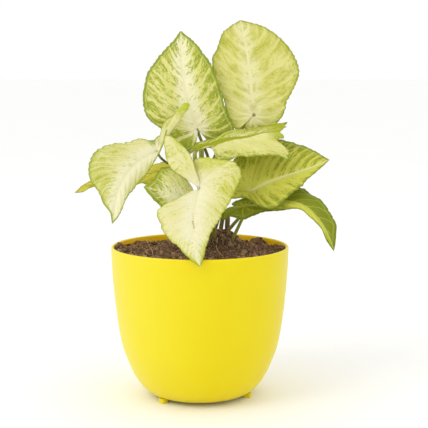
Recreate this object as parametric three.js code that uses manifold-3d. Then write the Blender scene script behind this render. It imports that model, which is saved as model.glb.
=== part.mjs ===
// Potted syngonium in a round yellow pot, in millimetres, +Z up.
// The origin is on the floor, on the axis of the pot. +X is to the right of a person
// who faces the plant, +Y points away from that person.

import * as THREE from 'three';
import * as BufferGeometryUtils from 'three/addons/utils/BufferGeometryUtils.js';
import Module from 'manifold-3d';

const wasm = await Module();
wasm.setup();

// Driving dimensions of the pot
const potHeight = 111.5;
const rimRadius = 65;
const wall = 2;
const baseRadius = 31;
const bellyRadius = 55.6;
const bellyHeight = 32.3;
// Offsets of the control points that bend the outer line: out of the base, into the belly,
// out of the belly and into the rim
const basePull = 15;
const bellyPullBelow = [2.6, 5.9];
const bellyPullAbove = [5, 11.6];
const rimPull = [0.3, 25];
const bellySteps = 6;
const sideSteps = 4;
const potSides = 48;
const footHeight = 2.2;
const footSide = 5;
const footCircle = 36.5;
const footAngles = [103, 223, 343];
const footSink = 1.2;
const drainRadius = 3;
const drainCircle = 17;
const drainCount = 4;
const drainSides = 12;

// Driving dimensions of the potting mix
const gap = 0.3;
const soilLevel = 108;
const moundHeight = 13;
const moundCentre = [15, 4];
const moundSpread = 13;
const lumps = [
  { height: 0.6, x: 0.31, y: 0.27, shiftX: 1.3, shiftY: 0.4 },
  { height: 0.4, x: 0.53, y: -0.37, shiftX: 0.2, shiftY: 1.1 },
];
const slope = -0.012;
const soilEdgeDepth = 12;
const soilFloorRadius = 28;
const soilRings = 11;
const soilSectors = 36;
const holeDepth = 10;
const holeTop = 8;
const holeSides = 12;

// Driving dimensions of the plant
const bladeThickness = 0.8;
const marginStep = 6;
const ribSteps = 4;
const ribLag = 1.35;
const leastLobeRibs = 3;
const leastEdgeRibs = 6;
const wavesPerMargin = 5;
const stalkSides = 8;
const stalkStep = 6;
const leastStalkSteps = 6;
const stalkTipRadius = 0.5;
const neckLength = 4;
const rootInBlade = 0.03;
const uprightFoot = 2;
const caneFoot = [20.3, 9.5];
const caneRadius = 2;
const caneTop = 136;
const caneSides = 12;
const plasticYellow = 0xf0e11e;
const soilBrown = 0x4a3524;
const caneBrown = 0x6b5238;
const plasticRoughness = 0.35;
const soilRoughness = 0.95;
const caneRoughness = 0.8;
const leafRoughness = 0.45;

// Leaves. Each list holds points (x, y, z). The midrib runs from the joint with the
// petiole to the tip. Left and right are as seen on the upper face with the tip ahead.
// A lobe runs from the joint round the basal lobe, and the edge goes on from there to the tip.
// The foot is where the petiole stands in the mix, and radii are its top and foot radius.
const leaves = [
  {
    name: 'leaf_top_left',
    colour: 0xc9d36a,
    midrib: [[-2, 2, 197], [-8, 4.5, 214], [-12.5, 9, 239], [-14, 20, 268]],
    leftLobe: [[-2.1, 1.4, 194], [-2.2, 0.6, 191], [-2.4, -0.3, 188], [-3.4, -1.2, 184.8],
      [-8, -1, 181.5], [-13, -1, 181], [-20, 0, 186], [-27.5, 2, 196.5]],
    leftEdge: [[-37.5, 4, 204], [-41, 5, 215.5], [-40.5, 6, 227], [-37, 8, 239.5], [-29.5, 11, 249],
      [-21.5, 15, 257.5]],
    rightLobe: [[1.5, 3, 192.7], [5.1, 5, 188.3], [9, 7, 185], [15, 9, 186], [21, 10, 190.5],
      [25, 11, 197.5]],
    rightEdge: [[22, 10, 205], [17.5, 9, 214.5], [15, 9, 225.5], [11, 10, 236.5], [6, 12, 247],
      [-3.5, 16, 259]],
    petiole: [[1, 3, 188.5], [4, 4, 181.5], [6.5, 5, 174], [10.5, 7, 151.5], [14, 6, 137],
      [13.5, 4.5, 130.5]],
    foot: [11, 3],
    radii: [1.1, 1.5],
    cup: 1.5,
    wave: 0.5,
  },
  {
    name: 'leaf_top_right',
    colour: 0xd3d67c,
    midrib: [[40, 15, 206.5], [38, 16, 224.5], [35.5, 20, 248], [30.5, 38, 276.5]],
    leftLobe: [[36.2, 14.3, 202.7], [31.6, 14, 198.2], [27.7, 15, 195.7], [24.5, 16, 198]],
    leftEdge: [[20, 17, 209], [15.5, 19, 222.5], [9.5, 22, 235.5], [9.5, 25, 245.5], [13, 29, 257],
      [18.5, 33, 268]],
    rightLobe: [[36.8, 16, 202.2], [32.8, 17, 196.6], [37, 17, 194], [44.5, 17, 195], [52.5, 15, 197]],
    rightEdge: [[58.5, 14, 202.5], [62.5, 13, 210], [64.5, 13, 216.5], [68, 14, 223], [73, 17, 235],
      [72, 19, 243.5], [67, 23, 254.5], [57.5, 28, 265], [45, 34, 272.5]],
    petiole: [[36.5, 18.5, 202], [32.5, 20.5, 197], [28.5, 19.5, 193.5], [19.5, 15, 186.5],
      [12, 13, 177.5], [7.5, 12, 162], [12, 12, 142], [16.5, 12, 132]],
    foot: [15.5, 7],
    radii: [1.2, 1.7],
    cup: 1.5,
    wave: 0.5,
  },
  {
    name: 'leaf_middle_right',
    colour: 0xcbd26c,
    midrib: [[-2, -6, 182.5], [6, -6, 185], [17.5, -6, 189], [32.5, -5, 191], [47, -4, 194.5],
      [58, -2, 194.5]],
    leftLobe: [[-4.5, -4.5, 184], [-7, -4, 182.5]],
    leftEdge: [[-4, -3, 185], [-0.5, -2, 187.5], [6, -1, 189], [12.5, 1, 190.5], [20.5, 4, 195],
      [32.5, 8, 196.5], [45.5, 9, 197.5], [55, 8, 200], [63, 6, 199.5]],
    rightLobe: [[-4.5, -7, 181.5]],
    rightEdge: [[0, -8, 182], [6.5, -8.5, 184], [14, -9.5, 185.5], [17.5, -11.5, 184.5],
      [14, -15, 180.5], [12, -18, 176], [18, -20, 175.5], [28.5, -21, 177.5], [41, -22, 179],
      [54, -21, 178.5], [64, -18, 177], [63.5, -15, 182], [56, -7, 188], [61, -4, 191.5]],
    petiole: [[-3.5, -5.5, 180], [-3, -6, 172.5], [-0.5, -6, 160], [3, -4.5, 145.5],
      [6, -2.5, 134.5]],
    foot: [7, -1],
    radii: [1.6, 1.8],
    cup: 1.5,
    wave: 0.4,
  },
  {
    name: 'leaf_right',
    colour: 0x9bb03c,
    midrib: [[36.5, -6, 151.5], [45, -9, 156.5], [57, -11, 162], [74, -11, 167.5], [93.5, -9, 175]],
    leftLobe: [[31.5, -4.5, 149], [25, -4, 148.5], [21, -2, 152], [20.5, 1, 159.5], [23.5, 4.5, 171],
      [32.5, 9, 181.5]],
    leftEdge: [[43, 12, 186], [53.5, 13, 188], [63.5, 11, 187.5], [73.5, 7, 185], [84, 0, 180.5]],
    rightLobe: [[32.5, -7.2, 151], [27, -8.8, 150.3], [21, -10, 149.5], [22.5, -12, 147.6],
      [29.5, -14, 147.6]],
    rightEdge: [[36, -17, 146.5], [40.5, -20, 144.5], [45.5, -23, 142], [51, -25, 141.5],
      [56, -24, 144], [62.5, -22, 149.5], [71.5, -19, 156.5], [82, -14, 165]],
    petiole: [[37, 0, 147], [36, 4, 143], [33, 4.5, 136.5], [28.5, 3, 131], [23.5, 1, 125.5]],
    foot: [20, -1],
    radii: [1.1, 1.5],
    cup: 1.5,
    wave: 0.6,
  },
  {
    name: 'leaf_low_right',
    colour: 0x809a2a,
    midrib: [[33.5, -6, 141], [46.5, -9, 142.5], [61, -13, 145.5], [73.5, -21, 143.5],
      [83, -31, 135.5], [89.5, -38, 125], [93.5, -41, 113.5]],
    leftLobe: [[27.5, -5, 141], [23.5, -5, 142], [25, -4.5, 144.5], [28, -4, 145.5],
      [31.5, -4, 146.5]],
    leftEdge: [[39.5, -4, 147.5], [49.5, -3, 152], [61, -4, 155], [72.5, -7, 155], [82.5, -16, 149],
      [91, -27, 141.5], [95, -33, 133], [95.5, -38, 122.5]],
    rightLobe: [[27.5, -7, 141], [22, -8, 140.9], [18, -9, 138.5], [15.5, -9.5, 133],
      [16.5, -10.5, 131], [20.5, -11, 133.5], [25.5, -12, 134], [31, -13, 132.5]],
    rightEdge: [[37.5, -13, 134.5], [44.5, -14, 137], [57.5, -18, 139.5], [71, -27, 141],
      [78, -34, 136.5], [84.5, -39.5, 128.5], [89, -42, 120]],
    petiole: [[34.5, -2.5, 137], [31, -3, 131.5], [26.5, -4.5, 122.5]],
    foot: [24, -6],
    radii: [1.1, 1.5],
    cup: 1,
    wave: 0.8,
  },
  {
    name: 'leaf_front',
    colour: 0xe4e4a6,
    midrib: [[-0.5, -33, 157], [-2, -37, 150.5], [-4, -47, 140], [-4.5, -59, 127], [-3, -67, 117.5],
      [0.5, -70.5, 107.5]],
    leftLobe: [[-0.5, -31, 163], [-3, -28.5, 169.5], [-5, -26.5, 174.5], [-3, -26.5, 177.5],
      [4.5, -27, 178.5], [17, -28, 176.5], [24.5, -29, 175], [28.5, -31, 169], [27.5, -34, 161.5]],
    leftEdge: [[23.5, -38.5, 153.5], [21, -43, 148], [15.5, -48, 141], [12.5, -53, 136],
      [9, -58, 130.5], [4.5, -65, 120.5]],
    rightLobe: [[-0.5, -33.5, 163], [-2.5, -33.5, 169], [-5.5, -32, 178], [-11.5, -29, 186.5],
      [-17.5, -27, 191.5], [-23.5, -25, 193.5], [-24.5, -25, 186], [-24, -27, 178],
      [-20, -29, 170.5], [-13, -31, 166], [-5.5, -32, 161.5]],
    rightEdge: [[-1.5, -34, 156], [-7, -36, 155], [-16.5, -38, 150], [-25, -42, 146],
      [-29.5, -46, 142], [-27.5, -51, 134], [-21.5, -57.5, 125], [-12, -64, 117.5],
      [-5.5, -68, 111.5]],
    petiole: [[1, -27, 151.5], [4.5, -19, 142], [8.5, -12, 132.5], [10, -8.5, 125.5]],
    foot: [10.5, -7],
    radii: [1.1, 2.3],
    cup: 1.5,
    wave: 0.5,
  },
  {
    name: 'leaf_under',
    colour: 0xc6d05e,
    midrib: [[-2, -22, 147], [-13.5, -24, 150], [-26, -28, 154], [-39.5, -33, 158]],
    leftLobe: [[-0.5, -24, 142.5], [-4, -27, 139]],
    leftEdge: [[-11, -30, 137], [-19, -31, 138.5], [-26, -32, 142.5], [-31, -32, 147.5],
      [-35.5, -33, 152.5]],
    rightLobe: [[-4, -20, 150], [-7.5, -19, 154]],
    rightEdge: [[-8.5, -18, 160], [-14, -16, 166], [-21.5, -15, 171], [-27.5, -18, 169.5],
      [-31.5, -23, 164.5], [-35.5, -29, 160.5]],
    petiole: [[-1.5, -17, 142.5], [-0.5, -9, 133]],
    foot: [1, -4],
    radii: [1, 1.4],
    cup: 1.5,
    wave: 0.5,
  },
  {
    name: 'leaf_left',
    colour: 0xdde09a,
    midrib: [[-30.5, -15, 181.5], [-39.5, -22, 177.5], [-48, -31, 171], [-56, -43, 157],
      [-60, -53, 134.5]],
    leftLobe: [[-29.5, -14, 187], [-28, -12, 195], [-25, -9, 203], [-17.5, -6.5, 208.5],
      [-11, -5, 215], [-7.5, -5, 214.5], [-9, -6, 211], [-15.5, -8.5, 206], [-21, -11, 200],
      [-24, -14, 194], [-26, -17, 186.5]],
    leftEdge: [[-29, -17, 180], [-33.5, -22, 172], [-41.5, -31, 161.5], [-49, -40, 153.5],
      [-52, -46, 147.5], [-56.5, -51.5, 138.5]],
    rightLobe: [[-31, -13, 184.5], [-29.5, -11, 188], [-28.5, -10, 192.5], [-30.5, -10.5, 191.5],
      [-32.5, -11.5, 189.5]],
    rightEdge: [[-35, -12.5, 189], [-42.5, -13, 190.5], [-52, -17, 188.5], [-63, -24, 187],
      [-73, -32, 182.5], [-77, -38, 173], [-75.5, -43, 164.5], [-70, -46, 156], [-66, -50, 148],
      [-61.5, -52, 142.5]],
    petiole: [[-28, -13, 177], [-24, -11, 173.5], [-15, -6, 168], [-7, -2, 164], [0, 1.5, 156],
      [2.5, 3.5, 144.5], [3, 4.5, 133.5]],
    foot: [2, 4.5],
    radii: [0.9, 1.4],
    cup: 2,
    wave: 0.5,
  },
  {
    name: 'leaf_far_left',
    colour: 0xa8a830,
    midrib: [[-20.5, 4, 167.5], [-35, 9, 163.5], [-55, 15, 158.5], [-74.5, 21, 154.5],
      [-94.5, 26, 147.5]],
    leftLobe: [[-20.5, 2, 164.5], [-24.5, 1, 160.5]],
    leftEdge: [[-32, 2, 156.5], [-44.5, 6, 156.5], [-57.5, 11, 155], [-70.5, 16, 153],
      [-80.5, 21, 152.5], [-87.5, 24, 148.5]],
    rightLobe: [[-21, 5, 171], [-25.5, 7, 172.5]],
    rightEdge: [[-31, 10, 171], [-43, 14, 167.5], [-58, 18, 163], [-71, 21, 160], [-81.5, 23, 157],
      [-88.5, 25, 153]],
    petiole: [[-14.5, 5, 165], [-6.5, 8, 160.5], [0, 10, 151.5], [2.5, 11, 136.5]],
    foot: [3, 11],
    radii: [1, 1.3],
    cup: 1.5,
    wave: 0.4,
  },
  {
    name: 'leaf_back',
    colour: 0x9cae3a,
    midrib: [[0, 14, 183], [-6, 25, 180.5], [-13, 42, 185], [-17.5, 58, 189.5], [-21, 70, 186.5]],
    leftLobe: [[-2.5, 13, 181], [-8, 16, 177.5]],
    leftEdge: [[-13.5, 22, 178], [-18.5, 30, 181], [-22.5, 42, 186.5], [-24, 56, 190]],
    rightLobe: [[0, 17, 186]],
    rightEdge: [[-3.5, 22, 185.5], [-6.5, 30, 188], [-9.5, 44, 193.5], [-14.5, 58, 194.5]],
    petiole: [[1, 13.5, 180], [1.2, 14, 173], [2.5, 15, 158], [5.5, 15, 143.5], [6.5, 14.5, 132]],
    foot: [8, 14],
    radii: [2.1, 1.5],
    cup: 1,
    wave: 0.3,
  },
];

// Welding distance for shared corners
const weld = 1e-4;

function solidFromGeometry(geometry) {
  const bare = geometry.clone();
  bare.deleteAttribute('normal');
  bare.deleteAttribute('uv');
  const merged = BufferGeometryUtils.mergeVertices(bare, weld);
  return new wasm.Manifold(new wasm.Mesh({
    numProp: 3,
    vertProperties: new Float32Array(merged.attributes.position.array),
    triVerts: new Uint32Array(merged.index.array),
  }));
}

function solidFromFaces(points, faces) {
  return new wasm.Manifold(new wasm.Mesh({
    numProp: 3,
    vertProperties: new Float32Array(points.flatMap((point) => point.toArray())),
    triVerts: new Uint32Array(faces.flat()),
  }));
}

function meshFromSolid(solid, name, colour, roughness) {
  const data = solid.getMesh();
  const geometry = new THREE.BufferGeometry();
  geometry.setAttribute('position', new THREE.Float32BufferAttribute(data.vertProperties, 3));
  geometry.setIndex(new THREE.Uint32BufferAttribute(data.triVerts, 1));
  geometry.computeVertexNormals();
  const material = new THREE.MeshStandardMaterial({ color: colour, roughness, metalness: 0 });
  const mesh = new THREE.Mesh(geometry, material);
  mesh.name = name;
  return mesh;
}

function cylinderSolid(radius, bottom, top, x, y, sides) {
  const geometry = new THREE.CylinderGeometry(radius, radius, top - bottom, sides);
  geometry.rotateX(Math.PI / 2);
  geometry.translate(x, y, (top + bottom) / 2);
  return solidFromGeometry(geometry);
}

// Height of the potting mix: nearly level, with a mound at the stems and small lumps
function soilHeight(x, y) {
  const away = (x - moundCentre[0]) ** 2 + (y - moundCentre[1]) ** 2;
  let height = soilLevel + slope * y;
  height += moundHeight * Math.exp(-away / (2 * moundSpread ** 2));
  for (const lump of lumps) {
    height += lump.height * Math.sin(lump.x * x + lump.shiftX) * Math.sin(lump.y * y + lump.shiftY);
  }
  return height;
}

// The pot's outer line from its flat base up to the rim, as points (radius, height)
function outerLine() {
  const belly = new THREE.CubicBezierCurve(
    new THREE.Vector2(baseRadius, footHeight),
    new THREE.Vector2(baseRadius + basePull, footHeight),
    new THREE.Vector2(bellyRadius - bellyPullBelow[0], bellyHeight - bellyPullBelow[1]),
    new THREE.Vector2(bellyRadius, bellyHeight),
  );
  const side = new THREE.CubicBezierCurve(
    new THREE.Vector2(bellyRadius, bellyHeight),
    new THREE.Vector2(bellyRadius + bellyPullAbove[0], bellyHeight + bellyPullAbove[1]),
    new THREE.Vector2(rimRadius - rimPull[0], potHeight - rimPull[1]),
    new THREE.Vector2(rimRadius, potHeight),
  );
  return [...belly.getPoints(bellySteps), ...side.getPoints(sideSteps).slice(1)];
}

// The same line set back by a distance, measured square to the wall
function insetLine(distance) {
  const line = outerLine();
  return line.map((point, i) => {
    const before = line[Math.max(i - 1, 0)];
    const after = line[Math.min(i + 1, line.length - 1)];
    const along = after.clone().sub(before).normalize();
    return new THREE.Vector2(point.x - along.y * distance, point.y + along.x * distance);
  });
}

function latheSolid(profile, sides) {
  const geometry = new THREE.LatheGeometry(profile, sides);
  geometry.rotateX(Math.PI / 2);
  return solidFromGeometry(geometry);
}

function potSolid() {
  const outside = outerLine();
  const inside = insetLine(wall);
  inside[inside.length - 1] = new THREE.Vector2(rimRadius - wall, potHeight);
  const floorHeight = footHeight + wall;
  const profile = [
    new THREE.Vector2(0, footHeight),
    ...outside,
    ...inside.reverse().filter((point) => point.y > floorHeight + gap),
    new THREE.Vector2(baseRadius, floorHeight),
    new THREE.Vector2(0, floorHeight),
  ];
  let solid = latheSolid(profile, potSides);
  for (const degrees of footAngles) {
    const angle = THREE.MathUtils.degToRad(degrees);
    const foot = new THREE.BoxGeometry(footSide, footSide, footHeight + footSink);
    foot.rotateZ(angle);
    foot.translate(
      footCircle * Math.cos(angle),
      footCircle * Math.sin(angle),
      (footHeight + footSink) / 2,
    );
    solid = solid.add(solidFromGeometry(foot));
  }
  for (let i = 0; i < drainCount; i += 1) {
    const angle = (i / drainCount) * 2 * Math.PI;
    const x = drainCircle * Math.cos(angle);
    const y = drainCircle * Math.sin(angle);
    const drain = cylinderSolid(drainRadius, 0, floorHeight + wall, x, y, drainSides);
    solid = solid.subtract(drain);
  }
  return solid;
}

// The potting mix fills the pot, with a plain hole for every stalk
function soilSolid() {
  const floorHeight = footHeight + wall + gap;
  const side = insetLine(wall + gap).filter((point) => point.y > floorHeight + gap);
  const topRadius = side[side.length - 1].x;
  const points = [];
  const faces = [];
  const ring = (radius, height) => {
    const first = points.length;
    for (let j = 0; j < soilSectors; j += 1) {
      const angle = (j / soilSectors) * 2 * Math.PI;
      const x = radius * Math.cos(angle);
      const y = radius * Math.sin(angle);
      points.push(new THREE.Vector3(x, y, height === null ? soilHeight(x, y) : height));
    }
    return first;
  };
  const join = (low, high) => {
    for (let j = 0; j < soilSectors; j += 1) {
      const next = (j + 1) % soilSectors;
      faces.push([low + j, low + next, high + next], [low + j, high + next, high + j]);
    }
  };
  const floor = points.push(new THREE.Vector3(0, 0, floorHeight)) - 1;
  const rings = [ring(soilFloorRadius, floorHeight)];
  for (const point of side) {
    if (point.y < soilLevel - soilEdgeDepth) {
      rings.push(ring(point.x, point.y));
    }
  }
  for (let i = soilRings; i >= 1; i -= 1) {
    rings.push(ring(topRadius * (i / soilRings), null));
  }
  for (let i = 1; i < rings.length; i += 1) {
    join(rings[i - 1], rings[i]);
  }
  const middle = points.push(new THREE.Vector3(0, 0, soilHeight(0, 0))) - 1;
  for (let j = 0; j < soilSectors; j += 1) {
    const next = (j + 1) % soilSectors;
    faces.push([floor, rings[0] + next, rings[0] + j]);
    faces.push([middle, rings[rings.length - 1] + j, rings[rings.length - 1] + next]);
  }
  let solid = solidFromFaces(points, faces);
  const stalks = leaves.map((leaf) => ({ foot: leaf.foot, radius: leaf.radii[1] }));
  stalks.push({ foot: caneFoot, radius: caneRadius });
  for (const stalk of stalks) {
    const [x, y] = stalk.foot;
    const ground = soilHeight(x, y);
    const bottom = ground - holeDepth - gap;
    const top = ground + holeTop;
    solid = solid.subtract(cylinderSolid(stalk.radius + gap, bottom, top, x, y, holeSides));
  }
  return solid;
}

function curveThrough(points) {
  const vectors = points.map((point) => new THREE.Vector3(...point));
  const curve = new THREE.CatmullRomCurve3(vectors, false, 'centripetal');
  curve.arcLengthDivisions = 40 * points.length;
  return curve;
}

// Share of a curve's length at which it passes the point with the given number
function shareAtPoint(curve, number) {
  const lengths = curve.getLengths();
  const division = Math.round((number / (curve.points.length - 1)) * (lengths.length - 1));
  return lengths[division] / lengths[lengths.length - 1];
}

// One half of a blade: margin curve, and how the ribs are spread along it
function halfOutline(leaf, lobe, edge) {
  const joint = leaf.midrib[0];
  const tip = leaf.midrib[leaf.midrib.length - 1];
  const margin = curveThrough([joint, ...lobe, ...edge, tip]);
  const waist = shareAtPoint(margin, lobe.length + 1);
  return { margin, waist, length: margin.getLength() };
}

// Mid-surface of a blade as welded points and triangles.
// Ribs fan out from the joint over the lobe, then leave the midrib one after another.
function bladeSheet(leaf) {
  const midrib = curveThrough(leaf.midrib);
  const halves = [
    { side: -1, ...halfOutline(leaf, leaf.leftLobe, leaf.leftEdge) },
    { side: 1, ...halfOutline(leaf, leaf.rightLobe, leaf.rightEdge) },
  ];
  const edgeRibs = Math.max(
    leastEdgeRibs,
    ...halves.map((half) => Math.round((half.length * (1 - half.waist)) / marginStep)),
  );
  const sheet = { points: [], faces: [], rib: [] };
  const known = new Map();
  const pointNumber = (key, position, rib) => {
    if (!known.has(key)) {
      known.set(key, sheet.points.length);
      sheet.points.push(position);
      sheet.rib.push(rib);
    }
    return known.get(key);
  };
  for (const half of halves) {
    const lobeLength = half.length * half.waist;
    const lobeRibs = Math.max(leastLobeRibs, Math.round(lobeLength / marginStep));
    const ribs = [];
    for (let i = 1; i <= lobeRibs; i += 1) {
      ribs.push({ share: half.waist * (i / lobeRibs), start: 0 });
    }
    for (let i = 1; i <= edgeRibs; i += 1) {
      const along = i / edgeRibs;
      ribs.push({ share: half.waist + (1 - half.waist) * along, start: along ** ribLag });
    }
    for (const rib of ribs) {
      rib.from = midrib.getPointAt(rib.start);
      rib.to = half.margin.getPointAt(rib.share);
    }
    const longest = Math.max(...ribs.map((rib) => rib.from.distanceTo(rib.to)));
    const rows = ribs.map((rib, i) => {
      const row = [];
      const reach = rib.from.distanceTo(rib.to) / longest;
      for (let j = 0; j <= ribSteps; j += 1) {
        const out = j / ribSteps;
        let key = `${half.side}/${i}/${j}`;
        if (j === 0) {
          key = `midrib/${rib.start.toFixed(6)}`;
        }
        if (i === ribs.length - 1) {
          key = 'tip';
        }
        const position = rib.from.clone().lerp(rib.to, out);
        row.push(pointNumber(key, position, { out, reach, share: rib.share }));
      }
      return row;
    });
    for (let i = 1; i < rows.length; i += 1) {
      for (let j = 0; j < ribSteps; j += 1) {
        let quad = [rows[i - 1][j], rows[i - 1][j + 1], rows[i][j + 1], rows[i][j]];
        if (half.side < 0) {
          quad = quad.reverse();
        }
        for (const face of [[quad[0], quad[1], quad[2]], [quad[0], quad[2], quad[3]]]) {
          if (new Set(face).size === 3) {
            sheet.faces.push(face);
          }
        }
      }
    }
  }
  return sheet;
}

function sheetNormals(sheet) {
  const normals = sheet.points.map(() => new THREE.Vector3());
  for (const [a, b, c] of sheet.faces) {
    const ab = sheet.points[b].clone().sub(sheet.points[a]);
    const ac = sheet.points[c].clone().sub(sheet.points[a]);
    const normal = ab.cross(ac);
    normals[a].add(normal);
    normals[b].add(normal);
    normals[c].add(normal);
  }
  return normals.map((normal) => normal.normalize());
}

// The halves bulge a little between midrib and margin, and the margin waves
function shapeSheet(sheet, leaf) {
  const normals = sheetNormals(sheet);
  sheet.points.forEach((point, i) => {
    const { out, reach, share } = sheet.rib[i];
    const bulge = leaf.cup * 4 * out * (1 - out);
    const wave = leaf.wave * out * out * Math.sin(2 * Math.PI * wavesPerMargin * share);
    point.addScaledVector(normals[i], (bulge + wave) * reach);
  });
}

// A closed blade: the sheet offset to both sides and joined along its boundary
function thickSolid(sheet, thickness) {
  const normals = sheetNormals(sheet);
  const count = sheet.points.length;
  const upper = sheet.points.map((p, i) => p.clone().addScaledVector(normals[i], thickness / 2));
  const lower = sheet.points.map((p, i) => p.clone().addScaledVector(normals[i], -thickness / 2));
  const faces = [];
  const directed = new Set();
  for (const [a, b, c] of sheet.faces) {
    directed.add(`${a}/${b}`).add(`${b}/${c}`).add(`${c}/${a}`);
  }
  for (const [a, b, c] of sheet.faces) {
    faces.push([a, b, c], [count + a, count + c, count + b]);
    for (const [from, to] of [[a, b], [b, c], [c, a]]) {
      if (!directed.has(`${to}/${from}`)) {
        faces.push([from, count + from, count + to], [from, count + to, to]);
      }
    }
  }
  return solidFromFaces([...upper, ...lower], faces);
}

// A closed round stalk along a curve, with a radius that is a function of the share of its length
function stalkSolid(curve, radiusAt) {
  const steps = Math.max(leastStalkSteps, Math.round(curve.getLength() / stalkStep));
  const frames = curve.computeFrenetFrames(steps, false);
  const points = [];
  const faces = [];
  for (let i = 0; i <= steps; i += 1) {
    const centre = curve.getPointAt(i / steps);
    const radius = radiusAt(i / steps);
    for (let j = 0; j < stalkSides; j += 1) {
      const angle = (j / stalkSides) * 2 * Math.PI;
      points.push(centre.clone()
        .addScaledVector(frames.normals[i], radius * Math.cos(angle))
        .addScaledVector(frames.binormals[i], radius * Math.sin(angle)));
    }
  }
  for (let i = 0; i < steps; i += 1) {
    for (let j = 0; j < stalkSides; j += 1) {
      const next = (j + 1) % stalkSides;
      const a = i * stalkSides;
      const b = a + stalkSides;
      faces.push([a + j, a + next, b + next], [a + j, b + next, b + j]);
    }
  }
  const first = points.push(curve.getPointAt(0)) - 1;
  const last = points.push(curve.getPointAt(1)) - 1;
  for (let j = 0; j < stalkSides; j += 1) {
    const next = (j + 1) % stalkSides;
    faces.push([first, next, j]);
    faces.push([last, steps * stalkSides + j, steps * stalkSides + next]);
  }
  return solidFromFaces(points, faces);
}

// The petiole starts inside the blade, swells into its sheath near the foot
// and ends upright in its hole
function petioleSolid(leaf) {
  const [x, y] = leaf.foot;
  const ground = soilHeight(x, y);
  const inBlade = curveThrough(leaf.midrib).getPointAt(rootInBlade).toArray();
  const curve = curveThrough([
    inBlade,
    leaf.midrib[0],
    ...leaf.petiole,
    [x, y, ground + uprightFoot],
    [x, y, ground - holeDepth],
  ]);
  const [top, foot] = leaf.radii;
  const neck = neckLength / curve.getLength();
  return stalkSolid(curve, (share) => {
    const body = top + (foot - top) * share ** 2;
    return THREE.MathUtils.lerp(stalkTipRadius, body, Math.min(1, share / neck));
  });
}

function leafMesh(leaf) {
  const sheet = bladeSheet(leaf);
  shapeSheet(sheet, leaf);
  const blade = thickSolid(sheet, bladeThickness);
  const solid = blade.add(petioleSolid(leaf));
  return meshFromSolid(solid, leaf.name, leaf.colour, leafRoughness);
}

// Brown stub of an older stem, cut off level
function caneMesh() {
  const [x, y] = caneFoot;
  const bottom = soilHeight(x, y) - holeDepth;
  const solid = cylinderSolid(caneRadius, bottom, caneTop, x, y, caneSides);
  return meshFromSolid(solid, 'cane', caneBrown, caneRoughness);
}

const pottedSyngonium = new THREE.Group();
pottedSyngonium.add(meshFromSolid(potSolid(), 'pot', plasticYellow, plasticRoughness));
pottedSyngonium.add(meshFromSolid(soilSolid(), 'soil', soilBrown, soilRoughness));
pottedSyngonium.add(caneMesh());
for (const leaf of leaves) {
  pottedSyngonium.add(leafMesh(leaf));
}

export default pottedSyngonium;
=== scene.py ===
"""Potted syngonium in a yellow plastic pot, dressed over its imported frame. Metres, +Z up."""

import math
from types import SimpleNamespace

import bmesh
import bpy
import numpy as np
from mathutils import Matrix, Vector, noise


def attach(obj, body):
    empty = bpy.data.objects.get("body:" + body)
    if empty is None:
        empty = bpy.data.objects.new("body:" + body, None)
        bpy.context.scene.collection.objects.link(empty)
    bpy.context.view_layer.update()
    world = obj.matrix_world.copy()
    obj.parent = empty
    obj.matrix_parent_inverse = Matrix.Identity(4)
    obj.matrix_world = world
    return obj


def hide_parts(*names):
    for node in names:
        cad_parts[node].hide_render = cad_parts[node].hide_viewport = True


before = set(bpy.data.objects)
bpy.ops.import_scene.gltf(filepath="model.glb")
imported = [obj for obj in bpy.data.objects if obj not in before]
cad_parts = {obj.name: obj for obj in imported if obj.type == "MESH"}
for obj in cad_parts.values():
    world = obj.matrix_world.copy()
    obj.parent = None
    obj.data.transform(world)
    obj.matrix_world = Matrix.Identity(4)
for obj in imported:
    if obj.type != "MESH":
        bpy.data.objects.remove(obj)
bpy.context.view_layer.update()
MM = 0.001

# Sizes in millimetres, as in the part's source
POT_HEIGHT = 111.5
RIM_RADIUS = 65
WALL = 2
BASE_RADIUS = 31
BELLY_RADIUS = 55.6
BELLY_HEIGHT = 32.3
FOOT_HEIGHT = 2.2
FOOT_SIDE = 5
FOOT_CIRCLE = 36.5
FOOT_ANGLES = (103, 223, 343)
DRAIN_RADIUS = 3
DRAIN_CIRCLE = 17
DRAIN_COUNT = 4
SOIL_GAP = 0.3
SOIL_LEVEL = 108
MOUND_HEIGHT = 13
MOUND_CENTRE = (15, 4)
MOUND_SPREAD = 13
SOIL_SLOPE = -0.012
LUMPS = ((0.6, 0.31, 0.27, 1.3, 0.4), (0.4, 0.53, -0.37, 0.2, 1.1))
HOLE_DEPTH = 10
STALK_INSET = 0.85
RIB_LAG = 1.35
CANE_FOOT = (20.3, 9.5)
CANE_RADIUS = 2
CANE_TOP = 136

# Sizes in millimetres of this finer model
BLADE_THICKNESS = 0.5
SHEET_PITCH = 0.75
SHEET_COLUMNS = 30
PUFF = 0.35
VEIN_SUNK, VEIN_RAISED, VEIN_REACH = 0.22, 0.3, 0.8
RIB_SUNK, RIB_RAISED, RIB_REACH = 0.35, 0.75, 1.1
MARGIN_FADE = 12
RIPPLE, SCALLOP, RUFFLE = 0.4, 0.25, 0.5
# Veins of a lobe, and how far the veins lean towards the tip, as a share of their number
LOBE_VEINS, LEAN = 4, 0.1
STALK_NEAR = 5
FLOOR_PATCH = 26
FOOT_BEVEL = 0.45
SOIL_SECTORS, SOIL_RINGS = 300, 110
CANE_RINGS = (0.42, 0.58, 0.72, 0.9)
CRUMB_REACH, FIBRE_REACH = 62, 61
CRUMBS = (("mix_crumbs", 2600, (0.35, 1.1), 1), ("mix_clods", 620, (1.0, 2.4), 2))
FIBRE_COUNT, FIBRE_JOINTS = 260, 5
# Long pale strands on the mix, as points seen from above
STRANDS = (
    ((-41.5, 44), (-39.5, 30), (-37.5, 12), (-35, -8), (-33.5, -29)),
    ((14.5, 18), (13.8, 6), (12.6, -10), (11.8, -17), (14, -28), (17.5, -39)),
)

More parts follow.
